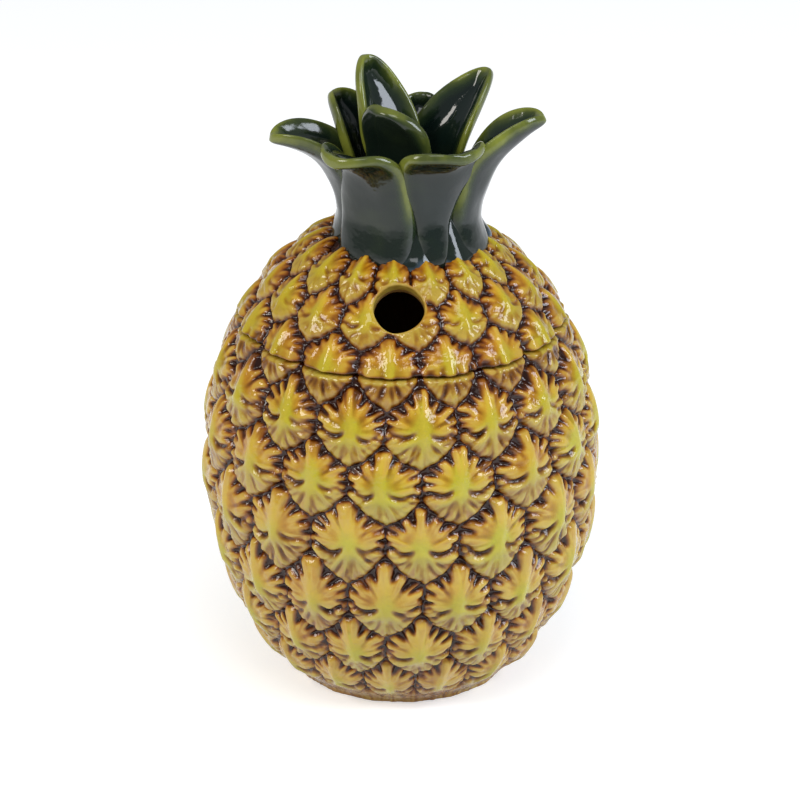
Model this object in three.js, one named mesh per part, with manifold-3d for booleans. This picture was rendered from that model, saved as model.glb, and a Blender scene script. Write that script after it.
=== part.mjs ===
// A glazed ceramic drinking jar in the shape of a pineapple. The scaled cup stands on a small foot. The scaled
// lid lies on the cup's rim, and a ring under it drops into the cup's mouth, so that the lid lifts off and turns
// but doesn't slide. A straw hole goes through the lid's front, and a crown of thick green leaves stands on top.
//
// Millimetres, +Z up. The origin is on the table in the middle of the foot, and the straw hole looks along -Y.
// Angles round the jar are in degrees from -Y towards +X.

import * as THREE from "three";
import { mergeVertices } from "three/addons/utils/BufferGeometryUtils.js";
import Module from "manifold-3d";

const wasm = await Module();
wasm.setup();

// The skin is the egg that the grooves between the scales lie on: two half ellipses that meet at the widest
// circle.
const SKIN_RADIUS = 50;
const EGG_ABOVE = 66.5; // from the widest circle up to the egg's top
const EGG_BELOW = 72; // from the widest circle down to the egg's bottom
const EGG_CUT = 10; // how much of the egg's bottom the foot cuts off
const WIDEST_HEIGHT = EGG_BELOW - EGG_CUT;

// Scales. A row's place is its distance along the skin from the widest circle, upwards.
const SCALES_ROUND = 16;
const FIRST_SCALE_ANGLE = -4.9;
const ROWS = [-54, -39, -22, -3.6, 12.4, 27.3, 43, 54.5, 67];
const SKIN_BOTTOM = -71; // where the skin below the lowest row ends, under the foot
const SKIN_TOP = 78; // where the skin above the highest row ends, under the crown
const SCALE_HEIGHT = 4;
const EDGE_BOW = 0.05; // how far the slanting edges are bowed down and outwards, as a share of a row
const FINGER_HEIGHT = 1.7; // of the raised body's edge on the fingers that its upper edge is cut into
const GAP_HEIGHT = 0.6; // at the inner ends of the gaps between the fingers
const SIDE_HEIGHT = 1.1; // of the raised body's edge at the upright sides
const SKIRT_HEIGHT = 2.1; // of the raised body's edge below
const CREASE_HEIGHT = 2; // in the middle of the two creases beside the tip
const BROW_HEIGHT = 3; // round the tip, except in the creases

// Each scale fills a hexagon with upright sides, half a column each way from its middle. Its tip stands a
// little below the middle, and spokes run from the tip out to the grooves round the scale. These are the spokes
// on the right, from the lowest to the highest. Places are [columns, rows] from the scale's middle and, where
// there is a third value, the height over the grooves. A gap lies between its spoke and the next one.
const TIP = [0, -0.06, SCALE_HEIGHT];
const SPOKES = [
  { groove: [0, -0.75], shoulder: [0, -0.65, SKIRT_HEIGHT], brow: [0, -0.44, BROW_HEIGHT] },
  {
    groove: [0.25 + EDGE_BOW / 2, -0.5 - EDGE_BOW],
    shoulder: [0.24, -0.48, SKIRT_HEIGHT],
    brow: [0.15, -0.33, BROW_HEIGHT],
  },
  { groove: [0.5, -0.25], shoulder: [0.43, -0.22, FINGER_HEIGHT], brow: [0.26, -0.16, CREASE_HEIGHT] },
  { groove: [0.5, 0], shoulder: [0.43, -0.01, SIDE_HEIGHT], brow: [0.25, -0.03, BROW_HEIGHT] },
  {
    groove: [0.5, 0.25],
    shoulder: [0.42, 0.2, SIDE_HEIGHT],
    brow: [0.25, 0.09, BROW_HEIGHT],
    gap: [0.27, 0.26, GAP_HEIGHT],
  },
  {
    groove: [0.25 - EDGE_BOW / 2, 0.5 - EDGE_BOW],
    shoulder: [0.21, 0.38, FINGER_HEIGHT],
    brow: [0.11, 0.2, BROW_HEIGHT],
    gap: [0.12, 0.42, GAP_HEIGHT],
  },
  { groove: [0, 0.75], shoulder: [0, 0.65, FINGER_HEIGHT], brow: [0, 0.38, BROW_HEIGHT] },
];

// Cup
const WALL = 4; // from a groove through to the inside
const FOOT_RADIUS = 29;
const FOOT_HEIGHT = 4.5;
const FOOT_RING_WIDTH = 6.5;
const FOOT_RECESS_DEPTH = 2;
const FLOOR = 4; // over the recess
const RIM_ABOVE_WIDEST = 38.5;

// Lid
const LID_GAP = 0.4; // between the cup's rim and the lid's edge
const RING_CLEARANCE = 1; // between the ring and the cup's mouth, all round
const RING_WIDTH = 3.5;
const RING_DEPTH = 6.5;
const CROWN_SEAT_DEPTH = 2.9; // of the crown's seat under the egg's top
const CROWN_SEAT_RISE = 1; // of the seat over the cut tops of the scales
const SEAT_MARGIN = 0.8; // of the seat outside the leaves' feet
const LID_ROOF = 6.5;
const STRAW_HOLE_RADIUS = 6.6;
const STRAW_HOLE_ANGLE = -1;
const STRAW_HOLE_DISTANCE = 58; // along the skin from the widest circle

// Crown. It was stuck on a little to the right of the lid's middle.
const CROWN_OFFSET = 2.2;
const CROWN_RADIUS = 19; // of the ring of outer leaves where it stands on the lid
const JOINT_GAP = 0.3; // where two pieces are luted together
const CORE_HEIGHT = 13;
const CORE_DOME = 5;
const INNER_LEAF_RADIUS = 5.5; // of the ring that the inner leaves stand on
const LEAF_THICKNESS = 6.8;
const LEAF_TIP_THICKNESS = 4.6;
const FOOT_CUPPING = 1.5; // how far a leaf's edges bend towards the crown's middle where it stands
const LEAF_SPREAD_END = 0.6; // the share of a leaf's length where it has its full width

// Leaves. Angles and radii are round the crown's middle, and heights are over the lid.
// foot: the angle where the leaf stands, and its width there. tip: radius, angle and height of its end.
// rise: length of its upright start. reach: length of its bent end, which points up at the angle `slope`.
// cupping: how far its edges bend inwards where it is widest.
// blunt: the share of its length where its end begins to round off.
const OUTER_LEAVES = [
  {
    name: "leaf_front_left",
    foot: [-34, 22],
    tip: [29.8, -43, 28.5],
    rise: 17,
    reach: 14,
    slope: 5,
    width: 22,
    cupping: 2,
    blunt: 0.6,
  },
  {
    name: "leaf_front_right",
    foot: [20, 9],
    tip: [26.5, 33, 29.5],
    rise: 17,
    reach: 12,
    slope: 8,
    width: 23.5,
    cupping: 2,
    blunt: 0.64,
  },
  {
    name: "leaf_left",
    foot: [-94, 15],
    tip: [36.5, -86, 28.5],
    rise: 12,
    reach: 17,
    slope: 10,
    width: 19,
    cupping: 4.5,
    blunt: 0.45,
  },
  {
    name: "leaf_right",
    foot: [72, 17],
    tip: [35.2, 88, 32.5],
    rise: 10,
    reach: 18,
    slope: 28,
    width: 19,
    cupping: 4.5,
    blunt: 0.45,
  },
  {
    name: "leaf_back_right",
    foot: [168, 14],
    tip: [28.5, 132, 37.5],
    rise: 9,
    reach: 24,
    slope: 41,
    width: 18.5,
    cupping: 3.5,
    blunt: 0.35,
  },
  {
    name: "leaf_back",
    foot: [-166, 16],
    tip: [23, -190, 29.5],
    rise: 14,
    reach: 12,
    slope: 50,
    width: 17,
    cupping: 3.5,
    blunt: 0.45,
  },
  {
    name: "leaf_back_left",
    foot: [-134, 17],
    tip: [25.5, -127, 33],
    rise: 14,
    reach: 12,
    slope: 50,
    width: 15,
    cupping: 3.5,
    blunt: 0.5,
  },
];
const INNER_LEAVES = [
  {
    name: "leaf_inner_tall",
    foot: [-150, 13],
    tip: [15.5, -130, 44.5],
    rise: 18,
    reach: 18,
    slope: 76,
    width: 18.5,
    cupping: 3,
    blunt: 0.45,
  },
  {
    name: "leaf_inner_front",
    foot: [-20, 13],
    tip: [12, -38, 37],
    rise: 17,
    reach: 12,
    slope: 68,
    width: 20,
    cupping: 2.5,
    blunt: 0.6,
  },
];

// How finely round shapes are faceted
const ROUND_SIDES = 40;
const WALL_STEPS = 7;
const LEAF_STEPS = 9;
const LEAF_SIDES = 10;

const PAST = 1; // how far a cutter runs past the face that it cuts
const radians = THREE.MathUtils.degToRad;

// Solids and meshes

function solidFrom(geometry) {
  const bare = geometry.index ? geometry.toNonIndexed() : geometry.clone();
  bare.deleteAttribute("normal");
  bare.deleteAttribute("uv");
  const merged = mergeVertices(bare, 1e-3);
  return new wasm.Manifold(
    new wasm.Mesh({
      numProp: 3,
      vertProperties: merged.attributes.position.array,
      triVerts: new Uint32Array(merged.index.array),
    }),
  );
}

function geometryFrom(solid) {
  const { vertProperties, triVerts } = solid.getMesh();
  const geometry = new THREE.BufferGeometry();
  geometry.setAttribute("position", new THREE.BufferAttribute(vertProperties, 3));
  geometry.setIndex(new THREE.BufferAttribute(triVerts, 1));
  geometry.computeVertexNormals();
  return geometry;
}

// A solid from a list of corners, three to a triangle
function solidFromTriangles(corners) {
  return solidFrom(new THREE.BufferGeometry().setFromPoints(corners));
}

// A lathe about +Z. The profile holds [radius, height] pairs, from its lowest end up, with the inside on its
// left.
function turned(profile) {
  const points = profile.map(([radius, height]) => new THREE.Vector2(radius, height));
  return solidFrom(new THREE.LatheGeometry(points, ROUND_SIDES).rotateX(Math.PI / 2));
}

function disc(radius, low, high) {
  return turned([[0, low], [radius, low], [radius, high], [0, high]]);
}

// Everything between two heights
function slab(low, high) {
  const side = 4 * (SKIN_RADIUS + SCALE_HEIGHT);
  return solidFrom(new THREE.BoxGeometry(side, side, high - low).translate(0, 0, (low + high) / 2));
}

// The skin

const meridian = new THREE.CurvePath();
meridian.add(new THREE.EllipseCurve(0, WIDEST_HEIGHT, SKIN_RADIUS, EGG_BELOW, -Math.PI / 2, 0));
meridian.add(new THREE.EllipseCurve(0, WIDEST_HEIGHT, SKIN_RADIUS, EGG_ABOVE, 0, Math.PI / 2));
const [LENGTH_BELOW, MERIDIAN_LENGTH] = meridian.getCurveLengths();

// The skin's radius, height and outward normal at a distance along it from the widest circle
function skinAt(distance) {
  const { x: radius, y: height } = meridian.getPoint((LENGTH_BELOW + distance) / MERIDIAN_LENGTH);
  const half = height < WIDEST_HEIGHT ? EGG_BELOW : EGG_ABOVE;
  const normal = new THREE.Vector2(radius / SKIN_RADIUS ** 2, (height - WIDEST_HEIGHT) / half ** 2);
  return { radius, height, normal: normal.normalize() };
}

// The radius of the egg that lies `inset` inside the skin, at a height
function eggRadius(height, inset) {
  const half = height < WIDEST_HEIGHT ? EGG_BELOW : EGG_ABOVE;
  return (SKIN_RADIUS - inset) * Math.sqrt(1 - ((height - WIDEST_HEIGHT) / (half - inset)) ** 2);
}

// A row number, whole at a row and in between elsewhere, as a distance along the skin
const rowSpline = new THREE.SplineCurve(
  [SKIN_BOTTOM, ...ROWS, SKIN_TOP].map((distance, i) => new THREE.Vector2(i, distance)),
);
function distanceOf(row) {
  return rowSpline.getPoint((row + 1) / (ROWS.length + 1)).y;
}

function around(radius, degrees, height) {
  const angle = radians(degrees);
  return new THREE.Vector3(radius * Math.sin(angle), -radius * Math.cos(angle), height);
}

// A point over the skin. Columns and rows count scales, and `out` is the height over the grooves.
function overSkin(column, row, out) {
  const { radius, height, normal } = skinAt(distanceOf(row));
  const degrees = FIRST_SCALE_ANGLE + (column * 360) / SCALES_ROUND;
  return around(radius + out * normal.x, degrees, height + out * normal.y);
}

// Scales

function mirrored([x, ...rest]) {
  return [-x, ...rest];
}

// All the spokes of a scale, anticlockwise as seen from outside, from the lowest one
const topSpoke = SPOKES.length - 1;
const spokes = [...SPOKES];
spokes[topSpoke] = { ...SPOKES[topSpoke], gap: mirrored(SPOKES[topSpoke - 1].gap) };
for (let i = topSpoke - 1; i > 0; i--) {
  const { groove, shoulder, brow } = SPOKES[i];
  const { gap } = SPOKES[i - 1];
  spokes.push({
    groove: mirrored(groove),
    shoulder: mirrored(shoulder),
    brow: mirrored(brow),
    gap: gap && mirrored(gap),
  });
}

function middleColumn(row, scale) {
  return scale + (row % 2 ? 0.5 : 0);
}

function scaleTriangles(row, scale) {
  const column = middleColumn(row, scale);
  const place = ([x, y, out = 0]) => overSkin(column + x, row + y, out);
  const tip = place(TIP);
  return spokes.flatMap((spoke, i) => {
    const next = spokes[(i + 1) % spokes.length];
    const [groove, shoulder, brow] = [spoke.groove, spoke.shoulder, spoke.brow].map(place);
    const [nextGroove, nextShoulder, nextBrow] = [next.groove, next.shoulder, next.brow].map(place);
    const top = [tip, brow, nextBrow];
    if (!spoke.gap)
      return [
        ...top,
        brow, shoulder, nextShoulder, brow, nextShoulder, nextBrow,
        shoulder, groove, nextGroove, shoulder, nextGroove, nextShoulder,
      ];
    const gap = place(spoke.gap);
    return [
      ...top,
      brow, shoulder, gap, brow, gap, nextBrow, nextBrow, gap, nextShoulder,
      shoulder, groove, gap, groove, nextGroove, gap, gap, nextGroove, nextShoulder,
    ];
  });
}

// The strip between the zigzag of grooves outside the first or last row and the ring where the skin ends, and
// the flat end inside that ring. `side` is 1 at the top and -1 at the bottom.
function endTriangles(row, side) {
  const zigzag = spokes
    .map(({ groove }) => groove)
    .filter(([x, y]) => x < 0.5 && side * y >= 0.25)
    .sort((a, b) => a[0] - b[0]);
  const edge = [];
  const ring = [];
  for (let scale = 0; scale < SCALES_ROUND; scale++) {
    for (const [x, y] of zigzag) {
      const column = middleColumn(row, scale) + x;
      edge.push(overSkin(column, row + y, 0));
      ring.push(overSkin(column, row + side, 0));
    }
  }
  const middle = new THREE.Vector3(0, 0, ring[0].z);
  return edge.flatMap((_, i) => {
    const next = (i + 1) % edge.length;
    const [a, b] = side > 0 ? [i, next] : [next, i];
    return [edge[a], edge[b], ring[b], edge[a], ring[b], ring[a], ring[a], ring[b], middle];
  });
}

function pineapple() {
  const triangles = [...endTriangles(0, -1), ...endTriangles(ROWS.length - 1, 1)];
  for (let row = 0; row < ROWS.length; row++)
    for (let scale = 0; scale < SCALES_ROUND; scale++) triangles.push(...scaleTriangles(row, scale));
  return solidFromTriangles(triangles);
}

// Cup

const rimHeight = WIDEST_HEIGHT + RIM_ABOVE_WIDEST;
const mouthRadius = eggRadius(rimHeight, WALL);

// [radius, height] pairs of the egg `inset` inside the skin, between two heights
function eggProfile(low, high, inset, steps) {
  return Array.from({ length: steps + 1 }, (_, i) => {
    const height = low + ((high - low) * i) / steps;
    return [eggRadius(height, inset), height];
  });
}

function cupSolid(whole) {
  const floorHeight = FOOT_RECESS_DEPTH + FLOOR;
  const cavity = turned([
    [0, floorHeight],
    ...eggProfile(floorHeight, rimHeight, WALL, WALL_STEPS),
    [mouthRadius, rimHeight + PAST],
    [0, rimHeight + PAST],
  ]);
  const foot = disc(FOOT_RADIUS, 0, FOOT_HEIGHT);
  const recess = disc(FOOT_RADIUS - FOOT_RING_WIDTH, -PAST, FOOT_RECESS_DEPTH);
  return whole.intersect(slab(0, rimHeight)).add(foot).subtract(cavity).subtract(recess);
}

// Lid

const lidEdgeHeight = rimHeight + LID_GAP;
const seatHeight = WIDEST_HEIGHT + EGG_ABOVE - CROWN_SEAT_DEPTH;
const ringRadius = mouthRadius - RING_CLEARANCE;
const ringBore = ringRadius - RING_WIDTH;

function strawHole() {
  const { radius, height, normal } = skinAt(STRAW_HOLE_DISTANCE);
  const length = 2 * (WALL + SCALE_HEIGHT) + 2 * STRAW_HOLE_RADIUS;
  const drill = new THREE.CylinderGeometry(STRAW_HOLE_RADIUS, STRAW_HOLE_RADIUS, length, ROUND_SIDES);
  const along = around(normal.x, STRAW_HOLE_ANGLE, normal.y);
  const turn = new THREE.Quaternion().setFromUnitVectors(new THREE.Vector3(0, 1, 0), along);
  const middle = around(radius, STRAW_HOLE_ANGLE, height);
  drill.applyQuaternion(turn).translate(middle.x, middle.y, middle.z);
  return solidFrom(drill);
}

function lidSolid(whole) {
  const roof = seatHeight - LID_ROOF;
  const hollow = eggProfile(lidEdgeHeight, roof, WALL, WALL_STEPS);
  const cavity = turned([
    [0, lidEdgeHeight - PAST],
    [ringBore, lidEdgeHeight - PAST],
    ...hollow.map(([radius, height]) => [Math.min(radius, ringBore), height]),
    [0, roof],
  ]);
  const seat = disc(CROWN_RADIUS + SEAT_MARGIN, roof, seatHeight).translate(CROWN_OFFSET, 0, 0);
  const scaled = whole.intersect(slab(lidEdgeHeight, seatHeight - CROWN_SEAT_RISE));
  return scaled.add(seat).subtract(cavity).subtract(strawHole());
}

function ringSolid() {
  const top = lidEdgeHeight - JOINT_GAP;
  const bottom = top - RING_DEPTH;
  return turned([
    [ringBore, bottom],
    [ringRadius, bottom],
    [ringRadius, top],
    [ringBore, top],
    [ringBore, bottom],
  ]);
}

// Crown

// `grow` makes a piece larger all round, for cutting its neighbours clear of it
function coreSolid(grow = 0) {
  const radius = CROWN_RADIUS - LEAF_THICKNESS - JOINT_GAP + grow;
  const shoulder = CORE_HEIGHT + grow;
  const dome = Array.from({ length: WALL_STEPS - 1 }, (_, i) => {
    const angle = ((i + 1) / WALL_STEPS) * (Math.PI / 2);
    return [radius * Math.cos(angle), shoulder + CORE_DOME * Math.sin(angle)];
  });
  return turned([[0, -grow], [radius, -grow], [radius, shoulder], ...dome, [0, shoulder + CORE_DOME]]);
}

function leafCurve({ foot, tip, rise, reach, slope }, footRadius) {
  const start = around(footRadius, foot[0], 0);
  const end = around(...tip);
  const along = around(Math.cos(radians(slope)), tip[1], Math.sin(radians(slope)));
  const upright = start.clone().add(new THREE.Vector3(0, 0, rise));
  return new THREE.CubicBezierCurve3(start, upright, end.clone().addScaledVector(along, -reach), end);
}

// How much of its full width a leaf keeps at a share of its length: all of it until its end begins to round
// off
function leafTaper(share, blunt) {
  const towardsTip = Math.max(0, (share - blunt) / (1 - blunt));
  return Math.sqrt(1 - towardsTip ** 2.5);
}

function leafSolid(leaf, footRadius, grow = 0) {
  const curve = leafCurve(leaf, footRadius);
  const up = new THREE.Vector3(0, 0, 1);
  const [footAngle, footWidth] = leaf.foot;
  const rings = [];
  for (let step = 0; step < LEAF_STEPS; step++) {
    const share = Math.sin(((step / LEAF_STEPS) * Math.PI) / 2);
    const middle = curve.getPoint(share);
    const along = curve.getTangent(share);
    const angle = THREE.MathUtils.lerp(footAngle, leaf.tip[1], share);
    const across = up.clone().cross(around(1, angle, 0));
    across.addScaledVector(along, -across.dot(along)).normalize();
    const outward = across.clone().cross(along);
    const taper = leafTaper(share, leaf.blunt);
    const spread = THREE.MathUtils.smoothstep(share, 0, LEAF_SPREAD_END);
    const halfWidth = (THREE.MathUtils.lerp(footWidth, leaf.width, spread) / 2) * taper + grow;
    const thickness = THREE.MathUtils.lerp(LEAF_THICKNESS, LEAF_TIP_THICKNESS, share);
    const halfThickness = (thickness / 2) * taper ** 0.4 + grow;
    const cupping = THREE.MathUtils.lerp(FOOT_CUPPING, leaf.cupping, spread) * taper;
    if (step === 0) middle.z -= grow;
    rings.push(
      Array.from({ length: LEAF_SIDES }, (_, side) => {
        const turn = (side / LEAF_SIDES) * 2 * Math.PI;
        const x = Math.cos(turn);
        const y = halfThickness * Math.sin(turn) - cupping * x * x;
        return middle.clone().addScaledVector(across, halfWidth * x).addScaledVector(outward, y);
      }),
    );
  }
  const tip = curve.getPoint(1).addScaledVector(curve.getTangent(1), grow);
  const base = curve.getPoint(0);
  base.z -= grow;
  const corners = [];
  for (let side = 0; side < LEAF_SIDES; side++) {
    const next = (side + 1) % LEAF_SIDES;
    corners.push(base, rings[0][side], rings[0][next]);
    for (let step = 0; step + 1 < LEAF_STEPS; step++) {
      const [low, high] = [rings[step], rings[step + 1]];
      corners.push(low[side], high[next], low[next], low[side], high[side], high[next]);
    }
    corners.push(rings[LEAF_STEPS - 1][side], tip, rings[LEAF_STEPS - 1][next]);
  }
  return solidFromTriangles(corners);
}

function largestBody(solid) {
  return solid.decompose().reduce((most, body) => (body.volume() > most.volume() ? body : most));
}

// Each leaf is cut clear of the core and of the leaves before it
function leafSolids() {
  let taken = coreSolid(JOINT_GAP);
  const cutClear = (leaf, footRadius) => {
    const solid = largestBody(leafSolid(leaf, footRadius).subtract(taken));
    taken = taken.add(leafSolid(leaf, footRadius, JOINT_GAP));
    return [leaf.name, solid];
  };
  return [
    ...OUTER_LEAVES.map((leaf) => cutClear(leaf, CROWN_RADIUS - LEAF_THICKNESS / 2)),
    ...INNER_LEAVES.map((leaf) => cutClear(leaf, INNER_LEAF_RADIUS)),
  ];
}

// The jar

const yellowGlaze = new THREE.MeshStandardMaterial({ color: 0xb8912c, roughness: 0.12, metalness: 0 });
const brownGlaze = new THREE.MeshStandardMaterial({ color: 0x7a4e22, roughness: 0.2, metalness: 0 });
const greenGlaze = new THREE.MeshStandardMaterial({ color: 0x2f4a34, roughness: 0.1, metalness: 0 });

const jar = new THREE.Group();
const crown = new THREE.Group();
crown.position.set(CROWN_OFFSET, 0, seatHeight + JOINT_GAP);
jar.add(crown);

function addPiece(group, name, solid, material) {
  const mesh = new THREE.Mesh(geometryFrom(solid), material);
  mesh.name = name;
  group.add(mesh);
}

const whole = pineapple();
addPiece(jar, "cup", cupSolid(whole), yellowGlaze);
addPiece(jar, "lid_dome", lidSolid(whole), yellowGlaze);
addPiece(jar, "lid_locating_ring", ringSolid(), brownGlaze);
addPiece(crown, "crown_core", coreSolid(), greenGlaze);
leafSolids().forEach(([name, solid]) => addPiece(crown, name, solid, greenGlaze));

export default jar;
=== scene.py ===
"""Looks of a glazed ceramic drinking jar shaped like a pineapple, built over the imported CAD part.

Shapes are worked out in millimetres on arrays and become metres in Shell.mesh. Angles round the jar are in
degrees from -Y towards +X, and distances along the skin are measured from the jar's widest circle, upwards.
"""

import math

import bmesh
import bpy
import numpy as np
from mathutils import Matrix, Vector


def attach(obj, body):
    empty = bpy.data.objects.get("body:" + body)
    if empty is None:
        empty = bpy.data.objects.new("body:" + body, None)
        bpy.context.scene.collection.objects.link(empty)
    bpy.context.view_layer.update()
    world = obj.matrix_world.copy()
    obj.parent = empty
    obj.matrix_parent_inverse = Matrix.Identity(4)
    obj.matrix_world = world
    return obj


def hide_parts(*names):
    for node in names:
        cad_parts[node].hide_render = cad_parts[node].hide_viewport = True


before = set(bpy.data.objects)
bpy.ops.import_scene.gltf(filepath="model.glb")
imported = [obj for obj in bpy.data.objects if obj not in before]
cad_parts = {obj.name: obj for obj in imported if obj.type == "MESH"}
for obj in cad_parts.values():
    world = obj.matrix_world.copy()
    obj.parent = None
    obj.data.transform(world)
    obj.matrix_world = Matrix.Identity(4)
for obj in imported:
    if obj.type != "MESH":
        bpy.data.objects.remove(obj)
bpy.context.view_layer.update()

MM = 0.001

# Camera: the photograph's viewing angle
CAMERA_ELEVATION = 24.45
CAMERA_DISTANCE = 1407.0
CAMERA_TARGET = (-0.3, 0.0, 75.9)
CAMERA_LENS = 238.0
CAMERA_SENSOR = 36.0

# The jar's body, as in the CAD part
SKIN_RADIUS = 50.0
EGG_ABOVE = 66.5
EGG_BELOW = 72.0
WIDEST_HEIGHT = EGG_BELOW - 10.0
SCALES_ROUND = 16
COLUMN_ANGLE = 360.0 / SCALES_ROUND
FIRST_SCALE_ANGLE = -4.9
ROWS = [-54, -39, -22, -3.6, 12.4, 27.3, 43, 54.5, 67]
SKIN_BOTTOM = -71.0
SKIN_TOP = 78.0
SCALE_HEIGHT = 4.0
WALL = 4.0
FOOT_RADIUS = 29.0
FOOT_HEIGHT = 4.5
FOOT_RING_WIDTH = 6.5
FOOT_RECESS = 2.0
FLOOR_HEIGHT = 6.0
RIM_HEIGHT = WIDEST_HEIGHT + 38.5
LID_EDGE = RIM_HEIGHT + 0.4
SEAT_HEIGHT = WIDEST_HEIGHT + EGG_ABOVE - 2.9
LID_ROOF = 6.5
HOLE_RADIUS = 6.6
HOLE_ANGLE = -1.0
HOLE_DISTANCE = 58.0

# The crown, as in the CAD part. Angles and radii are round its own middle, and heights are over its seat.
CROWN_OFFSET = 2.2
CROWN_BASE = SEAT_HEIGHT + 0.3
OUTER_FOOT_RADIUS = 15.6
INNER_FOOT_RADIUS = 5.5
LEAF_THICKNESS = 6.8
LEAF_TIP_THICKNESS = 4.6
FOOT_CUPPING = 1.5
LEAF_SPREAD_END = 0.6

# How finely things are divided
CUP_COLUMNS = 700
CUP_ROWS = 300
LID_COLUMNS = 700
LID_ROWS = 110
COARSE_COLUMNS = 175
LID_INNER_COLUMNS = 350
LEAF_SIDES = 72
LEAF_STEPS = 56
CORE_COLUMNS = 240

rng = np.random.default_rng(11)


def smoothstep(value, low, high):
    share = np.clip((value - low) / (high - low), 0, 1)
    return share * share * (3 - 2 * share)


def quarter_round(distance, width):
    """0 at no distance, rising along a quarter circle to 1 at `width`."""
    share = np.clip(distance / width, 0, 1)
    return np.sqrt(1 - (1 - share) ** 2)


# The skin


def meridian_table():
    """Distance along the skin, radius and height at many points from the bottom to the top."""
    turn = np.linspace(-np.pi / 2, np.pi / 2, 4001)
    radius = SKIN_RADIUS * np.cos(turn)
    half = np.where(turn < 0, EGG_BELOW, EGG_ABOVE)
    height = WIDEST_HEIGHT + half * np.sin(turn)
    steps = np.hypot(np.diff(radius), np.diff(height))
    distance = np.concatenate([[0], np.cumsum(steps)])
    return distance - np.interp(0, turn, distance), radius, height


MERIDIAN_DISTANCE, MERIDIAN_RADIUS, MERIDIAN_HEIGHT = meridian_table()


def skin_at(distance):
    """Radius, height and outward normal (radial, up) of the skin at a distance along it."""
    radius = np.interp(distance, MERIDIAN_DISTANCE, MERIDIAN_RADIUS)
    height = np.interp(distance, MERIDIAN_DISTANCE, MERIDIAN_HEIGHT)
    half = np.where(height < WIDEST_HEIGHT, EGG_BELOW, EGG_ABOVE)
    outward = radius / SKIN_RADIUS**2
    upward = (height - WIDEST_HEIGHT) / half**2
    size = np.hypot(outward, upward)
    return radius, height, outward / size, upward / size


def egg_radius(height, inset):
    half = np.where(height < WIDEST_HEIGHT, EGG_BELOW, EGG_ABOVE) - inset
    return (SKIN_RADIUS - inset) * np.sqrt(np.clip(1 - ((height - WIDEST_HEIGHT) / half) ** 2, 0, 1))


def row_table():
    """Row numbers, whole at a row of scales, against distances along the skin, on a smooth curve."""
    knots = np.array([SKIN_BOTTOM, *ROWS, SKIN_TOP], float)
    last = len(knots) - 1
    place = np.linspace(0, last, 1001)
    low = np.minimum(place.astype(int), last - 1)
    share = place - low
    before = knots[np.maximum(low - 1, 0)]
    start, end = knots[low], knots[low + 1]
    after = knots[np.minimum(low + 2, last)]
    leave, arrive = (end - before) / 2, (after - start) / 2
    cubic = 2 * (start - end) + leave + arrive
    square = 3 * (end - start) - 2 * leave - arrive
    return place - 1, ((cubic * share + square) * share + leave) * share + start


ROW_NUMBER, ROW_DISTANCE = row_table()


def row_of(distance):
    return np.interp(distance, ROW_DISTANCE, ROW_NUMBER)


def around(radius, degrees, height):
    angle = np.radians(degrees)
    return np.stack(np.broadcast_arrays(radius * np.sin(angle), -radius * np.cos(angle), height), axis=-1)


# Scales. Each is drawn on a plain pattern, 20 wide and 24 high in its own units, and hand-made differences
# move the lines of each one a little.

HALF_WIDE = 10.0
HALF_HIGH = 12.0
HALF_COLUMN = 0.5  # HALF_WIDE in columns
ROW_REACH = 0.75  # HALF_HIGH in rows
SLANT = np.array([8.0, 10.0]) / math.hypot(8.0, 10.0)
SLANT_REACH = SLANT[1] * HALF_HIGH
LOWER_BULGE = 0.9  # of the lower edges over straight ones; the upper edges are as hollow
MIDDLE_DROP = 1.0  # of the point that the fingers and folds spread from, under the scale's middle
LEAST_SHORT = 1.08  # makes up for what the smooth least falls short of the true one
TOP_REACH = 10.0  # how high the middle finger ends, over the scale's middle
BODY_FULL = 1.1
FAR = 9  # takes the other side of a scale out of a line's reach

# How the pattern strays: how far, in how many waves round the jar, and over what distance along it
COLUMN_STRAYS = [(0.02, 5, 9), (0.014, 11, -5)]
ROW_STRAYS = [(0.03, 4, 13), (0.015, 9, 6)]

# The sides of a scale: what the rounded edge and the rise behind it give, and how wide each is
SKIRT_SLOPE = (0.66, 0.34, 2.2, 9)
ROOF_SLOPE = (0.46, 0.54, 1.3, 10.5)
FLANK_SLOPE = (0.5, 0.5, 1.3, 9.4)
BROW_SLOPE = (0.5, 0.5, 1.6, 12)

# The gaps between the fingers, on each side
GAPS = [20, 44, 65, 83, 100]  # in degrees from straight up
GAP_WIDTHS = [1.9, 1.7, 1.25, 0.85, 0.65]
GAP_STARTS = [0.57, 0.58, 0.63, 0.67, 0.69]  # how far out they begin, as a share of the way to the groove
GAP_FULL = 0.9  # where they have their whole width
GAP_LEAN = 10  # by how many degrees they turn on their way out
HALF_GAP = 0.45
FINGER_ROUND = 0.8
FINGER_DEPTH = 0.72  # share of the height that a gap takes away

# Folds, creases and smaller relief
FOLDS = [106, 117, 128, 140, 152, 163, 174]
FOLD_WIDTH = 0.6
FOLD_BEND = 12  # by how many degrees they swing out halfway
FOLD_DEPTH = 0.85
CREASE_WIDTHS = (0.45, 0.8)  # over and under its line
CREASE_DEPTH = 1.2
FAN_DROP = 2.7  # of the second crease
FAN_WIDTHS = (0.4, 0.7)
FAN_STRENGTH = 0.55
FAN_LIMIT = 0.75  # only beside a first crease that is shallower than this
LIP_DROP = 2.0  # of the lip under a crease
LIP_WIDTH = 0.95
LIP_HEIGHT = 0.6
KEEL_WIDTH = 1.5
KEEL_HEIGHT = 0.5
DIMPLE_PLACE = (3.6, 1.5)  # on both sides of the keel
DIMPLE_SIZE = (1.6, 2.6)
DIMPLE_DEPTH = 0.4
STREAKS = [9, 14, 19, 24, 31]  # waves round a scale
STREAK_HEIGHT = 0.26
DETAIL_ROWS = [-1, 0, 1, 5, 6, 7, 8]
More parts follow.
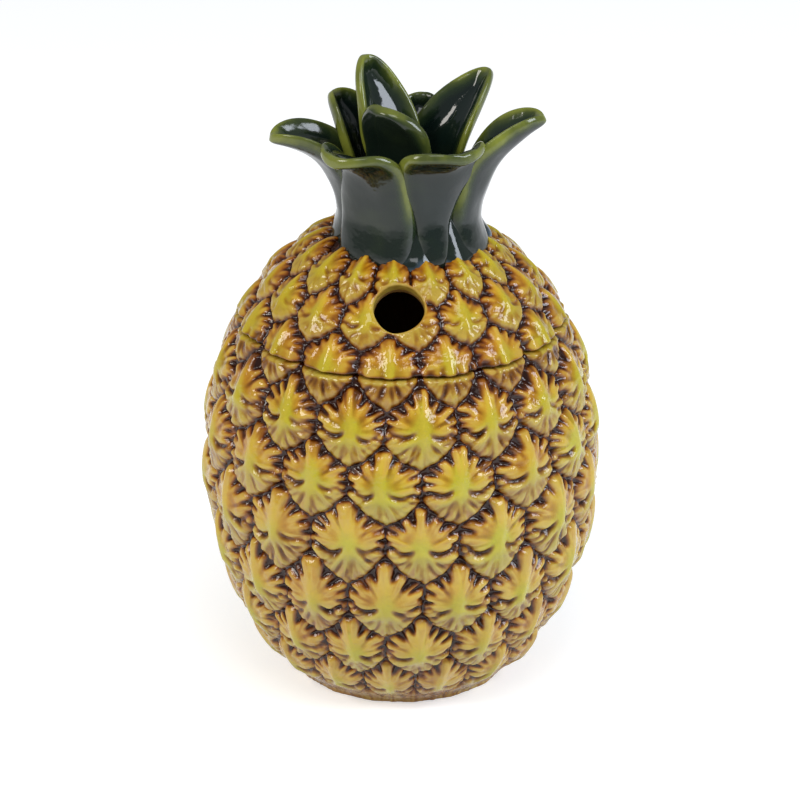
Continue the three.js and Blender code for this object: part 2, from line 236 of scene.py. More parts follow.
DETAIL_SHARES = [0.6, 0.85, 1.0, 1.0, 0.7, 0.6, 0.55]  # how much of the detail those rows have
POOL_DEPTH = 0.35  # of the glaze that fills the corners along the grooves
GLAZE_SOFTENING = 0.33  # how far the glaze rounds off whatever lies under it

each_scale = (len(ROWS) + 2, SCALES_ROUND)
gap_shift = rng.uniform(-5, 5, (*each_scale, 2, len(GAPS)))
gap_size = rng.uniform(0.5, 1.2, (*each_scale, 2, len(GAPS))) * GAP_WIDTHS
gap_start = rng.uniform(-0.07, 0.07, (*each_scale, 2, len(GAPS))) + GAP_STARTS
fold_shift = rng.uniform(-4, 4, (*each_scale, 2, len(FOLDS)))
fold_depth = rng.uniform(0.3, 1.2, (*each_scale, 2, len(FOLDS)))
crease_depth = rng.uniform(0.8, 1.1, (*each_scale, 2))
crease_depth[..., 1] *= 0.7  # one side's crease is shallower
flipped = rng.random(each_scale) < 0.3
crease_depth[flipped] = crease_depth[flipped][:, ::-1]
crease_drop = rng.uniform(1.9, 3.4, (*each_scale, 2))
streak_phase = rng.uniform(0, 2 * np.pi, (*each_scale, len(STREAKS)))
chance = rng.random(each_scale)
lean = rng.uniform(-0.9, 0.9, each_scale)
bulge = rng.uniform(0.9, 1.0, each_scale)


def least(*values, power=5):
    """A smooth version of the least of some values."""
    return sum(np.maximum(value, 1e-3) ** -power for value in values) ** (-1 / power)


def slope(inward, edge, rise, edge_width, rise_width, straight=False):
    """One side of a scale: a rounded edge, and the rise behind it."""
    behind = np.clip(inward / rise_width, 0, 1)
    if not straight:
        behind = np.sin(behind * np.pi / 2)
    return edge * quarter_round(inward, edge_width) + rise * behind


def bell(offset, width):
    return np.exp(-((offset / width) ** 2))


def scale_shape(degrees, distance):
    """For points of the skin: the height over the grooves, and what the glaze needs to know there."""
    column = (degrees - FIRST_SCALE_ANGLE) / COLUMN_ANGLE
    row = row_of(distance)
    wave = np.radians(degrees)
    for far, count, length in COLUMN_STRAYS:
        column = column + far * np.sin(count * wave + distance / length)
    for far, count, length in ROW_STRAYS:
        row = row + far * np.sin(count * wave + distance / length)

    def nearest(first_column, first_row):
        """Of the nearest scale in every other row: how far in, column, row, place in it, and its edges."""
        middle = np.round(column - first_column) + first_column
        scale_row = 2 * np.round((row - first_row) / 2) + first_row
        x = (column - middle) / HALF_COLUMN * HALF_WIDE
        y = (row - scale_row) / ROW_REACH * HALF_HIGH
        bend = LOWER_BULGE * np.sin(np.pi * np.clip(np.abs(x) / HALF_WIDE, 0, 1)) ** 2
        upper = SLANT_REACH - bend - SLANT[0] * np.abs(x) - SLANT[1] * y
        lower = SLANT_REACH + bend - SLANT[0] * np.abs(x) + SLANT[1] * y
        side = HALF_WIDE - np.abs(x)
        return np.minimum(np.minimum(upper, lower), side), middle, scale_row, x, y, upper, lower, side

    even, odd = nearest(0, 0), nearest(HALF_COLUMN, 1)
    chosen = (np.where(even[0] > odd[0], *pair) for pair in zip(even[1:], odd[1:]))
    middle, scale_row, x, y, upper, lower, side = chosen
    r = np.clip(scale_row + 1, 0, len(ROWS) + 1).astype(int)
    c = np.floor(middle).astype(int) % SCALES_ROUND
    hand = (x > 0).astype(int)
    x_bent = x + lean[r, c] * np.cos(y / HALF_HIGH * np.pi / 2) * (1 - np.abs(x) / HALF_WIDE)

    # polar place round the point that the fingers and folds spread from
    up = y + MIDDLE_DROP
    reach = np.hypot(x_bent, up) + 1e-6
    turn = np.arctan2(x_bent, up)
    angle = np.degrees(np.abs(turn))
    beyond = np.maximum(least(upper, lower, side), 0) * LEAST_SHORT
    share = np.clip(reach / (reach + beyond), 0, 1)
    streak = 0
    for i, count in enumerate(STREAKS):
        streak = streak + np.cos(count * turn + streak_phase[r, c, i] + 2 * share * np.sin(i))
    streak = streak / len(STREAKS) * smoothstep(share, 0.15, 0.7)

    # the raised body: a steep rounded skirt below, and above a roof that comes down to the fingers' tips
    upper_in = np.maximum(upper - 0.15, 0)
    lower_in = np.maximum(lower, 0)
    side_in = np.maximum(side - 0.1 - 0.15 * smoothstep(y, -3, 5), 0)
    skirt = slope(lower_in, *SKIRT_SLOPE, straight=True)
    roof = slope(upper_in, *ROOF_SLOPE)
    flank = slope(side_in, *FLANK_SLOPE)
    brow = slope(TOP_REACH - y, *BROW_SLOPE)
    body = BODY_FULL * least(skirt, roof, flank, brow)

    def from_line(line_angle):
        between = angle - line_angle
        return np.abs(reach * np.sin(np.radians(between))) + FAR * (np.abs(between) > 90)

    finger = np.ones_like(x)
    for i, base in enumerate(GAPS):
        start = gap_start[r, c, hand, i]
        inward = np.clip((share - start) / (GAP_FULL - start), 0, 1)
        off = from_line(base + gap_shift[r, c, hand, i] + GAP_LEAN * (share - 0.8) + 4 * streak)
        rounded = quarter_round(off - HALF_GAP * gap_size[r, c, hand, i] * inward**1.3, FINGER_ROUND)
        finger = np.minimum(finger, 1 - (1 - rounded) * smoothstep(inward, 0, 0.6))
    fold = np.zeros_like(x)
    for i, base in enumerate(FOLDS):
        off = from_line(base + fold_shift[r, c, hand, i] + FOLD_BEND * np.sin(share * np.pi) + 2 * streak)
        fold = np.maximum(fold, fold_depth[r, c, hand, i] * bell(off, FOLD_WIDTH))
    fold *= smoothstep(share, 0.2, 0.6) * smoothstep(angle, 98, 112)

    # the creases that curve down and out from the keel: one deep or two shallow ones on a side
    out = np.clip((np.abs(x_bent) - 0.9) / (HALF_WIDE - 1.1), 0, 1)
    arc = np.sin(np.pi * out**0.75)
    strength = smoothstep(out, 0.0, 0.22) * smoothstep(out, 1.06, 0.86) * crease_depth[r, c, hand]
    over = y + 0.2 + crease_drop[r, c, hand] * arc + 0.25 * streak
    crease = strength * bell(over, np.where(over > 0, *CREASE_WIDTHS))
    lip = strength * bell(over + LIP_DROP, LIP_WIDTH)
    second = y + FAN_DROP + crease_drop[r, c, hand] * arc * 0.9 + 0.3 * streak
    fan = FAN_STRENGTH * smoothstep(out, 0.25, 0.5) * smoothstep(out, 1.0, 0.8)
    fan *= crease_depth[r, c, hand] < FAN_LIMIT
    crease = np.maximum(crease, fan * bell(second, np.where(second > 0, *FAN_WIDTHS)))
    keel = bell(x_bent, KEEL_WIDTH) * smoothstep(y, -10, -2) * smoothstep(share, 1.0, 0.7)
    aside, above = np.abs(x_bent) - DIMPLE_PLACE[0], y - DIMPLE_PLACE[1]
    dimple = np.exp(-((aside / DIMPLE_SIZE[0]) ** 2) - (above / DIMPLE_SIZE[1]) ** 2)

    detail = np.interp(scale_row, DETAIL_ROWS, DETAIL_SHARES)
    size = 0.55 + 0.45 * skin_at(distance)[0] / SKIN_RADIUS  # scales are flatter where the jar is narrow
    height = SCALE_HEIGHT * body * bulge[r, c] * size * (1 - FINGER_DEPTH * (1 - finger) * detail)
    ridges = LIP_HEIGHT * lip + KEEL_HEIGHT * keel + STREAK_HEIGHT * streak
    furrows = CREASE_DEPTH * crease + FOLD_DEPTH * fold + DIMPLE_DEPTH * dimple
    height = np.maximum(height + (ridges - furrows) * detail * np.clip(body * 1.5, 0, 1), 0)
    height = height**2 / (height + POOL_DEPTH) * (1 + POOL_DEPTH / SCALE_HEIGHT)
    bare = (scale_row > len(ROWS) - 0.5) | (scale_row < -1.5)
    return {
        "height": np.where(bare, 0, height),
        "gap": np.where(bare, 0, (1 - finger) * detail),
        "crease": np.where(bare, 0, np.maximum(1.25 * crease, 0.6 * fold) * detail),
        "share": np.where(bare, 1, share),
        "skirt": np.where(bare, 1, smoothstep(angle, 60, 140)),
        "streak": 0.5 + 0.7 * streak * detail,
        "chance": chance[r, c],
        "dome": np.where(bare, 0, body),
    }


def evened(values, steps):
    """Values softened by a number of steps along their last axis, which wraps round."""
    count = values.shape[-1]
    kept = np.exp(-2 * (np.pi * steps * np.fft.rfftfreq(count)) ** 2)
    return np.fft.irfft(np.fft.rfft(values) * kept, count)


def blurred(field, across_steps, along_steps):
    """A field on [distance, angle] softened by these numbers of steps. It wraps round the jar."""
    field = evened(field, across_steps)
    padded = np.concatenate([field[::-1], field, field[::-1]])
    return evened(padded.T, along_steps).T[len(field): 2 * len(field)]


# How far the relief is under itself softened over a reach, and the difference that counts as 1
SOFTENED = [("hollow", 0.8, 0.5), ("shade", 2.2, 1.3)]
WASH_REACH = 0.6  # over which the glaze darkens beside gaps and creases
AMBER_BAND = (-15, 60)  # distances along the skin between which the glaze runs darker
CROWN_BAND = (58, 72)
CROWN_AMBER = 0.4  # more of it under the crown


def skin_grid(columns, rows, low, high, held_below=-99, held_above=99):
    """Scaled skin between two distances: radius and height of each point, and fields for the glaze.

    Below and above the two held distances the relief runs on as it is there.
    """
    distance = np.linspace(low, high, rows + 1)[:, None]
    degrees = (np.arange(columns) * 360 / columns)[None, :]
    degrees, distance = np.broadcast_arrays(degrees, distance)
    fields = scale_shape(degrees, np.clip(distance, held_below, held_above))
    radius, height, outward, upward = skin_at(distance)
    step_along = (high - low) / rows
    step_across = 2 * np.pi * radius.mean() / columns

    def softened(field, reach):
        return blurred(field, reach / step_across, reach / step_along)

    for name in ("height", "gap", "crease", "streak"):
        fields[name] = softened(fields[name], GLAZE_SOFTENING)
    relief = fields["height"] = np.maximum(fields["height"], 0)
    for name, reach, full in SOFTENED:
        fields[name] = np.clip((softened(relief, reach) - relief) / full, -1, 1)
    fields["wash"] = softened(np.maximum(fields["gap"], fields["crease"]), WASH_REACH)
    fields["radius"] = radius + relief * outward
    fields["z"] = height + relief * upward
    fields["amber"] = smoothstep(distance, *AMBER_BAND) + CROWN_AMBER * smoothstep(distance, *CROWN_BAND)
    fields["degrees"] = degrees
    fields["distance"] = distance
    return fields


# Meshes


class Shell:
    """A mesh made of closed rings of points, laid one after the other and joined by faces."""

    def __init__(self):
        self.points = []
        self.fields = {}
        self.faces = []
        self.materials = []
        self.count = 0
        self.last = None

    def add_points(self, points, fields=None):
        points = np.asarray(points, float).reshape(-1, 3)
        start = self.count
        self.points.append(points)
        for name, values in (fields or {}).items():
            self.fields.setdefault(name, []).append((start, np.broadcast_to(values, len(points))))
        self.count += len(points)
        return np.arange(start, self.count)

    def add_faces(self, faces, material=0):
        self.faces.append(np.asarray(faces))
        self.materials.append(np.full(len(faces), material))

    def add_band(self, old, new, material=0):
        self.add_faces(np.stack([old, np.roll(old, -1), np.roll(new, -1), new], axis=1), material)

    def ring(self, points, fields=None, material=0):
        """Adds a ring and joins it to the last one. Either may have a whole number of times more points."""
        new = self.add_points(points, fields)
        old = self.last
        self.last = new
        if old is None:
            return new
        if len(old) == len(new):
            self.add_band(old, new, material)
        elif len(old) == 1:
            self.add_faces(np.stack([np.repeat(old, len(new)), np.roll(new, -1), new], axis=1), material)
        elif len(new) == 1:
            self.add_faces(np.stack([old, np.roll(old, -1), np.repeat(new, len(old))], axis=1), material)
        else:
            self.stitch(old, new, material)
        return new

    def stitch(self, old, new, material):
        """Joins rings that differ by a whole factor in points: each long edge with its short ones."""
        coarse, fine = (old, new) if len(old) < len(new) else (new, old)
        times = len(fine) // len(coarse)
        faces = []
        for i in range(len(coarse)):
            here, there = coarse[i], coarse[(i + 1) % len(coarse)]
            run = [fine[(i * times + k) % len(fine)] for k in range(times + 1)]
            middle = times // 2
            for k in range(times):
                faces.append((here if k < middle else there, run[k + 1], run[k]))
            faces.append((here, there, run[middle]))
        faces = np.array(faces)
        self.add_faces(faces if coarse is old else faces[:, ::-1], material)

    def mesh(self, name, materials):
        points = np.concatenate(self.points) * MM
        mesh = bpy.data.meshes.new(name)
        corners = np.concatenate([f.ravel() for f in self.faces])
        sizes = np.concatenate([np.full(len(f), f.shape[1]) for f in self.faces])
        mesh.vertices.add(len(points))
        mesh.vertices.foreach_set("co", points.astype(np.float32).ravel())
        mesh.loops.add(len(corners))
        mesh.loops.foreach_set("vertex_index", corners.astype(np.int32))
        mesh.polygons.add(len(sizes))
        starts = np.concatenate([[0], np.cumsum(sizes)[:-1]])
        mesh.polygons.foreach_set("loop_start", starts.astype(np.int32))
        mesh.polygons.foreach_set("material_index", np.concatenate(self.materials).astype(np.int32))
        mesh.update(calc_edges=True)
        mesh.validate()
        mesh.shade_smooth()
        for field, parts in self.fields.items():
            values = np.zeros(len(points), np.float32)
            for start, part in parts:
                values[start: start + len(part)] = part
            mesh.attributes.new(field, "FLOAT", "POINT").data.foreach_set("value", values)
        for material in materials:
            mesh.materials.append(material)
        return mesh


def add_object(name, data):
    made = bpy.data.objects.new(name, data)
    bpy.context.scene.collection.objects.link(made)
    return made


def add_piece(name, mesh, body, node):
    piece = add_object(name, mesh)
    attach(piece, body)
    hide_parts(node)


GLAZE_FIELDS = ("gap", "wash", "share", "skirt", "streak", "chance", "dome", "hollow", "shade", "amber")
PLAIN = dict.fromkeys(GLAZE_FIELDS, 0.0)
PLAIN |= {"share": 0.6, "skirt": 0.5, "streak": 0.5, "chance": 0.5, "dome": 0.6}


def glaze_row(grid, i, **changed):
    return {name: grid[name][i] for name in GLAZE_FIELDS} | changed


def circle_points(radius, height, columns=COARSE_COLUMNS):
    return around(radius, np.arange(columns) * 360 / columns, height)


# Materials

GLAZE_IOR = 1.48
GLAZE_SPECULAR = 0.42
LEAF_IOR = 1.46

LIME = (0.50, 0.47, 0.030)
YELLOW = (0.62, 0.44, 0.045)
TAN = (0.60, 0.40, 0.070)
ORANGE = (0.50, 0.26, 0.035)
OLIVE = (0.46, 0.38, 0.080)
KHAKI = (0.47, 0.38, 0.095)
PINKISH = (0.42, 0.26, 0.10)
CREAM = (0.72, 0.60, 0.12)
AMBER = (0.90, 0.78, 0.50)
GLAZE_TONE = (0.90, 0.86, 0.84)
MURKY_GREEN = (0.030, 0.034, 0.012)
MILKY_BLUE = (0.20, 0.30, 0.44)

# The glaze's own colours, from the middle of a scale outwards, on its fingers and below on its skirt
FINGER_COLOURS = [(0.12, LIME), (0.42, YELLOW), (0.70, TAN), (1.0, ORANGE)]
APRON_COLOURS = [(0.10, LIME), (0.48, OLIVE), (0.78, KHAKI), (1.0, PINKISH)]

# What they are multiplied by, from where the glaze lies thin to where it pooled deep or shade is painted at
# the seam
POOLING = [
    (0.00, (1.0, 1.0, 1.0)),
    (0.16, (0.84, 0.68, 0.52)),
    (0.38, (0.52, 0.30, 0.19)),
    (0.66, (0.20, 0.082, 0.040)),
    (1.00, (0.050, 0.014, 0.007)),
]

# Leaves, from their faces to their rims, where the pale colour is partly thinner glaze and partly a painted
# highlight
LEAF_COLOURS_AND_RIM_HIGHLIGHT = [
    (0.0, (0.004, 0.010, 0.008)),
    (0.35, (0.014, 0.026, 0.010)),
    (0.7, (0.046, 0.062, 0.013)),
    (1.0, (0.17, 0.19, 0.026)),
]

# How far each thing moves the glaze along its colours, and how much deeper it pools there; along the seam
# the wash also carries painted shade
OUTWARD_BY = {"patches": 0.5, "streak": 1.2, "chance": 0.3, "amber": -0.16}
DEEPER_BY = {"hollow": 0.42, "shade": 0.30, "wash": 0.50, "gap": 0.25, "patches": 0.55, "flecks": 0.22}
THINNEST = 0.02
LOW_LIMIT = 4.2  # what is lower than 1 over this counts as groove


def socket_set(tree, socket, value):
    if isinstance(value, bpy.types.NodeSocket):
        tree.links.new(value, socket)
    else:
        socket.default_value = (*value, 1) if socket.type == "RGBA" else value


def add_node(tree, kind, inputs=(), **settings):
    node = tree.nodes.new(kind)
    for name, value in settings.items():
        setattr(node, name, value)
    for key, value in dict(inputs).items():
        socket_set(tree, node.inputs[key], value)
    return node


def math_node(tree, operation, *values, clamp=False):
    node = add_node(tree, "ShaderNodeMath", dict(enumerate(values)), operation=operation, use_clamp=clamp)
    return node.outputs[0]


def times(tree, first, second, clamp=False):
    return math_node(tree, "MULTIPLY", first, second, clamp=clamp)


def plus(tree, value, amount, rest, clamp=False):
    """`rest` and `amount` times the value."""
    return math_node(tree, "MULTIPLY_ADD", value, amount, rest, clamp=clamp)


def centred(tree, value, middle=0.5):
    return math_node(tree, "SUBTRACT", value, middle)


def attribute(tree, name):
    return add_node(tree, "ShaderNodeAttribute", attribute_name=name).outputs["Fac"]


def ramp(tree, factor, stops):
    node = add_node(tree, "ShaderNodeValToRGB", {"Fac": factor})
    band = node.color_ramp
    while len(band.elements) < len(stops):
        band.elements.new(0.5)
    for element, (place, colour) in zip(band.elements, stops):
        element.position = place
        element.color = (*colour, 1)
    return node.outputs["Color"]


def mixed(tree, factor, first, second, kind="MIX"):
    inputs = {"Factor": factor, "A": first, "B": second}
    return add_node(tree, "ShaderNodeMix", inputs, data_type="RGBA", blend_type=kind).outputs["Result"]


def noise(tree, scale, detail):
    place = add_node(tree, "ShaderNodeTexCoord").outputs["Object"]
    inputs = {"Vector": place, "Scale": scale, "Detail": detail}
    return add_node(tree, "ShaderNodeTexNoise", inputs).outputs["Fac"]


def new_material(name):
    material = bpy.data.materials.new(name)
    material.use_nodes = True
    tree = material.node_tree
    shader = tree.nodes["Principled BSDF"]
    return material, tree, shader


def finish_shader(tree, shader, colour, roughness, waves, distance, strength):
    """Sets colour, roughness and a bump of this height in metres."""
    inputs = {"Height": waves, "Distance": distance, "Strength": strength}
    normal = add_node(tree, "ShaderNodeBump", inputs).outputs["Normal"]
    for key, value in (("Base Color", colour), ("Roughness", roughness), ("Normal", normal)):
        socket_set(tree, shader.inputs[key], value)


def scale_glaze():
    material, tree, shader = new_material("scale_glaze")
    shader.inputs["IOR"].default_value = GLAZE_IOR
    shader.inputs["Specular IOR Level"].default_value = GLAZE_SPECULAR
    patches = noise(tree, 90, 4)
    clouds = noise(tree, 38, 2)
    flecks = noise(tree, 420, 3)
    read = ("share", "skirt", "streak", "hollow", "amber")
    share, skirt, streak, hollow, amber = (attribute(tree, name) for name in read)

    # its own colour
    outward = share
    for name, value in (("patches", patches), ("streak", streak), ("chance", attribute(tree, "chance"))):
        outward = plus(tree, centred(tree, value), OUTWARD_BY[name], outward)
    outward = plus(tree, amber, OUTWARD_BY["amber"], outward)
    colour = mixed(tree, skirt, ramp(tree, outward, FINGER_COLOURS), ramp(tree, outward, APRON_COLOURS))
    warm = math_node(tree, "MAXIMUM", plus(tree, clouds, 2.2, -0.85), 0.0)
    colour = mixed(tree, times(tree, warm, 0.3, clamp=True), colour, ORANGE)
    ridge = times(tree, hollow, -1.3, clamp=True)
    colour = mixed(tree, times(tree, ridge, 0.4), colour, CREAM)

    # how deep it pooled
    depth = times(tree, math_node(tree, "MAXIMUM", hollow, -0.2), DEEPER_BY["hollow"])
    for name in ("shade", "wash", "gap"):
        depth = plus(tree, attribute(tree, name), DEEPER_BY[name], depth)
    upper_half = times(tree, math_node(tree, "SUBTRACT", 1.0, skirt), share)
    depth = plus(tree, upper_half, plus(tree, amber, 0.36, 0.12), depth)
    raised = times(tree, attribute(tree, "dome"), LOW_LIMIT, clamp=True)
    low = math_node(tree, "SUBTRACT", 1.0, raised)
    depth = plus(tree, low, plus(tree, amber, 0.3, 0.5), depth)
    rays = times(tree, centred(tree, streak), times(tree, share, -1.9))
    depth = math_node(tree, "ADD", math_node(tree, "MINIMUM", rays, 0.2), depth)
    for name, value in (("patches", patches), ("flecks", flecks)):
        depth = plus(tree, centred(tree, value), DEEPER_BY[name], depth)
    depth = math_node(tree, "ADD", depth, THINNEST, clamp=True)
    colour = mixed(tree, 1.0, colour, ramp(tree, depth, POOLING), "MULTIPLY")
    tinted = math_node(tree, "MINIMUM", plus(tree, centred(tree, patches), 0.8, amber), 1.0)
    colour = mixed(tree, tinted, colour, AMBER, "MULTIPLY")
    colour = mixed(tree, 1.0, colour, GLAZE_TONE, "MULTIPLY")

    wear = plus(tree, skirt, 0.08, plus(tree, patches, 0.3, -0.02))
    roughness = times(tree, wear, plus(tree, amber, -0.65, 1.0))
    finish_shader(tree, shader, colour, roughness, plus(tree, flecks, 0.3, patches), 0.0011, 1.0)
    return material


def plain_glaze(name, first, second, roughness=0.12):
    material, tree, shader = new_material(name)
    patches = noise(tree, 60, 4)
    finish_shader(tree, shader, mixed(tree, patches, first, second), roughness, patches, 0.0008, 0.4)
    return material


def leaf_glaze():
    material, tree, shader = new_material("leaf_glaze")
    shader.inputs["IOR"].default_value = LEAF_IOR
    patches = noise(tree, 70, 4)
    clouds = noise(tree, 30, 3)
    # Paler towards the rims: partly thinner glaze, partly a painted highlight along them
    edge = plus(tree, centred(tree, patches, 0.56), 1.5, attribute(tree, "rim"), clamp=True)
    murky = plus(tree, clouds, 2.4, -1.0, clamp=True)
    colour = mixed(tree, times(tree, murky, 0.4), ramp(tree, edge, LEAF_COLOURS_AND_RIM_HIGHLIGHT), MURKY_GREEN)
    milky = plus(tree, noise(tree, 55, 3), 5.0, -2.3, clamp=True)
    colour = mixed(tree, times(tree, milky, attribute(tree, "pooled")), colour, MILKY_BLUE)
    roughness = plus(tree, clouds, 0.22, 0.0)
    waves = plus(tree, noise(tree, 45, 2), 3.0, patches)
    finish_shader(tree, shader, colour, roughness, waves, 0.0010, 0.6)
    return material


scales = scale_glaze()
honey = plain_glaze("inner_glaze", (0.34, 0.20, 0.06), (0.26, 0.13, 0.04))
bisque = plain_glaze("bare_clay", (0.70, 0.62, 0.50), (0.62, 0.54, 0.42), 0.8)
leaves_green = leaf_glaze()


# Cup

FOOT_GLAZE = PLAIN | {"wash": 0.3, "share": 0.7}
EDGE_STRETCH = 1.3  # how much further along the skin an edge's rounding goes
RIM_ROUND = 1.1
RIM_HOLD = 1.6  # how far under the rim the scales stop changing
SEAM_OVERRUN = 1.2  # of the skin beyond the seam, before its edge is rounded
FOOT_ROUND = 0.7
FOOT_BAND = (7.5, 2.0)  # heights between which the scales give way to a smooth band
FOOT_SWELL = 1.7  # of that band over the skin
FOOT_INSET = 0.9  # of the foot's wall where there is no relief
FLOOR_ROUND = 5.0
FLOOR_SPREAD = 4.0  # how much further in the cavity's corner runs for each radian


def rounded_upper_edge(radius, z, top, round_radius):
    """Bends each column inwards along a quarter circle that ends at `top`."""
    start = top - round_radius
    radius, z = radius.copy(), z.copy()
    for column in range(radius.shape[1]):
        first = int(np.argmax(z[:, column] > start))
        at = np.interp(start, z[first - 1: first + 1, column], radius[first - 1: first + 1, column])
        turn = np.clip((z[first:, column] - start) / (round_radius * EDGE_STRETCH), 0, np.pi / 2)
        radius[first:, column] = at - round_radius * (1 - np.cos(turn))
        z[first:, column] = start + round_radius * np.sin(turn)
    return radius, z


def rounded_lower_edge(radius, z, bottom, round_radius):
    flipped_radius, flipped_z = rounded_upper_edge(radius[::-1], -z[::-1], -bottom, round_radius)
    return flipped_radius[::-1], -flipped_z[::-1]


def near_seam(z, height, reach):
    """1 at the height of an edge at the seam, and 0 from `reach` away."""
    return smoothstep(np.abs(z - height), reach, 0)


def distance_at(height):
    return float(np.interp(height, MERIDIAN_HEIGHT, MERIDIAN_DISTANCE))


def foot_recess(shell):
    """The unglazed underside, from its middle out to the ring that the jar stands on."""
    inner = FOOT_RADIUS - FOOT_RING_WIDTH
    shell.ring([(0, 0, FOOT_RECESS)], PLAIN)
    for radius, height in [
        (inner * 0.5, FOOT_RECESS),
        (inner - 0.9, FOOT_RECESS),
        (inner - 0.2, FOOT_RECESS - 0.3),
        (inner, FOOT_RECESS - 0.9),
        (inner + 0.1, 0.5),
        (inner + 0.6, 0),
        (FOOT_RADIUS - FOOT_ROUND - 1.2, 0),
    ]:
        shell.ring(circle_points(radius, height), PLAIN, 2)


def cup_inside(shell):
    for height in np.linspace(RIM_HEIGHT - 1.0, FLOOR_HEIGHT + FLOOR_ROUND, 30):
        shell.ring(circle_points(egg_radius(height, WALL), height), PLAIN, 1)
    wall = float(egg_radius(FLOOR_HEIGHT + FLOOR_ROUND, WALL))
    for turn in np.radians([20, 40, 60, 80, 90]):
        radius = wall - FLOOR_ROUND * (1 - math.cos(turn)) - FLOOR_SPREAD * turn
        shell.ring(circle_points(radius, FLOOR_HEIGHT + FLOOR_ROUND * (1 - math.sin(turn))), PLAIN, 1)
    shell.ring(circle_points(wall * 0.35, FLOOR_HEIGHT), PLAIN, 1)
    shell.ring([(0, 0, FLOOR_HEIGHT)], PLAIN, 1)


def build_cup():
    rim = distance_at(RIM_HEIGHT)
    low, high = SKIN_BOTTOM + 0.5, rim + SEAM_OVERRUN
    grid = skin_grid(CUP_COLUMNS, CUP_ROWS, low, high, held_above=rim - RIM_HOLD)
    smooth = smoothstep(grid["z"], *FOOT_BAND)
    for name in ("gap", "wash", "hollow", "shade", "dome", "share", "skirt"):
        grid[name] = grid[name] + smooth * (FOOT_GLAZE[name] - grid[name])
    grid["radius"] += smooth * (egg_radius(grid["z"], 0) + FOOT_SWELL - grid["radius"])
    radius, z = rounded_upper_edge(grid["radius"], grid["z"], RIM_HEIGHT, RIM_ROUND)
    foot = FOOT_RADIUS - FOOT_INSET + 0.3 * grid["height"]
    foot -= 9 * smoothstep(z, FOOT_HEIGHT - 2, FOOT_HEIGHT + 2)
    radius = (radius + foot + np.hypot(radius - foot, 0.5)) / 2
    radius, z = rounded_lower_edge(radius, z, 0, FOOT_ROUND)
    # Painted shade on both sides of the seam: here a darker band under the cup's rim, left off the rounded
    # rim itself
    grid["wash"] = np.clip(grid["wash"] + 0.7 * near_seam(z, RIM_HEIGHT - 2.2, 3.5), 0, 1)
    grid["wash"] *= 1 - near_seam(z, RIM_HEIGHT - 0.3, 0.9)
    grid["shade"] *= 1 - near_seam(z, RIM_HEIGHT, 1.2)
    degrees = grid["degrees"][0]
    shell = Shell()
    foot_recess(shell)
    shell.ring(around(np.minimum(radius[0], FOOT_RADIUS) - 0.5, degrees, 0.0), glaze_row(grid, 0), 2)
    for i in range(len(radius)):
        shell.ring(around(radius[i], degrees, z[i]), glaze_row(grid, i))
    mouth = float(egg_radius(RIM_HEIGHT, WALL))
    last = glaze_row(grid, -1, gap=0, wash=0, dome=0.45)
    shell.ring(around(mouth + 1.2 + 0.3 * (radius[-1] - mouth), degrees, RIM_HEIGHT), last)
    shell.ring(circle_points(mouth + 0.8, RIM_HEIGHT), PLAIN)
    shell.ring(circle_points(mouth + 0.25, RIM_HEIGHT - 0.25), PLAIN, 1)
    cup_inside(shell)
    return shell.mesh("cup", [scales, honey, bisque])


add_piece("cup_scaled", build_cup(), "cup", "cup")


# Lid

LID_ROUND = 0.8
LID_HOLD = 1.2  # how far over its edge the scales stop changing
LID_SHELF = 4.5  # width of the flat face inside the edge
HOLE_BEVEL = 0.7  # radius of the rounded edge round the straw hole
INNER_BEVEL = 0.5
HOLE_BLEND = 1.2  # how far round the bevel the skin is drawn towards it
HOLE_CUT = 1.6  # the points nearer than this to the hole's axis are left out
OUT_OF_REACH = 99.0
RIM_EVENING = 16  # steps of a degree over which the line where skin and bevel meet is softened


def hole_frame():
    """Middle, axis and two directions across of the straw hole."""
    radius, height, outward, upward = (float(v) for v in skin_at(HOLE_DISTANCE))
    middle = around(radius, HOLE_ANGLE, height)
    axis = around(outward, HOLE_ANGLE, upward)
    across = around(1.0, HOLE_ANGLE + 90, 0.0)
    return middle, axis, across, np.cross(axis, across)


HOLE_MIDDLE, HOLE_AXIS, HOLE_ACROSS, HOLE_UP = hole_frame()


def hole_place(points):
    """Points given as across, up and out from the straw hole's middle."""
    off = points - HOLE_MIDDLE
    return off @ HOLE_ACROSS, off @ HOLE_UP, off @ HOLE_AXIS


def rim_height(turn):
    """How far out the scaled skin stands where the hole's bevel meets it, at angles round the hole."""
    reach = HOLE_RADIUS + HOLE_BEVEL
    want_across, want_up = reach * np.cos(turn), reach * np.sin(turn)
    degrees = HOLE_ANGLE + np.degrees(want_across / skin_at(HOLE_DISTANCE)[0])
    distance = HOLE_DISTANCE + want_up
    for _ in range(6):
        relief = scale_shape(degrees, distance)["height"]
        radius, height, outward, upward = skin_at(distance)
        place = around(radius + relief * outward, degrees, height + relief * upward)
        across, up, out = hole_place(place)
        degrees = degrees + np.degrees((want_across - across) / radius)
        distance = distance + (want_up - up)
    return out


RIM_TURNS = np.linspace(-np.pi, np.pi, 361)
RIM_OUT = evened(rim_height(RIM_TURNS)[:-1], RIM_EVENING)
RIM_OUT = np.append(RIM_OUT, RIM_OUT[0])


